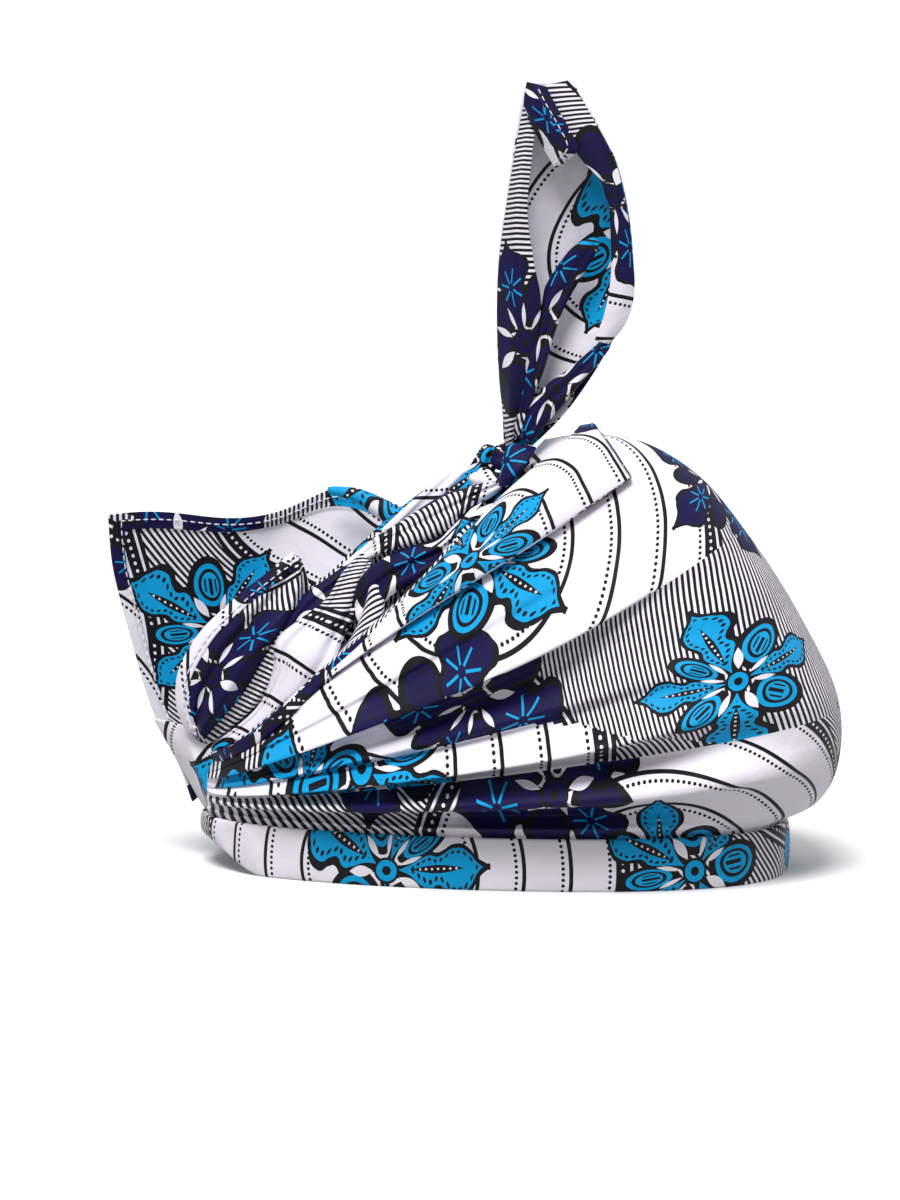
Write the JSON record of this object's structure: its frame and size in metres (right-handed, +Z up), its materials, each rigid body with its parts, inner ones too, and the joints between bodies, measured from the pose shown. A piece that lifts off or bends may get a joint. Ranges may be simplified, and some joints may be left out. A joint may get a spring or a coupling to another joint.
{
  "type": "head wrap",
  "caption": "Ready-tied cotton head wrap: pleated cap on a band, gathered at the front, with a twisted tie, a standing tie end and a falling tie end.",
  "frame": {"origin": "on the surface that the band stands on, under the middle of the whole wrap", "axes": "+Z up, +X to the back of the head, +Y to the right of the wearer"},
  "size_m": [0.2606, 0.2002, 0.2773],
  "materials": {
    "band_cotton": "printed cotton, matt",
    "crown_cotton": "printed cotton, crisp with a slight wax sheen",
    "tie_cotton": "printed cotton, crisp with a slight wax sheen"
  },
  "bodies": {
    "root": {"band": "band_cotton", "crown": "crown_cotton", "top_roll": "tie_cotton", "twist": "tie_cotton", "knot": "tie_cotton", "upright_tail": "tie_cotton", "front_tail": "tie_cotton", "front_fold": "tie_cotton"}
  },
  "joints": []
}
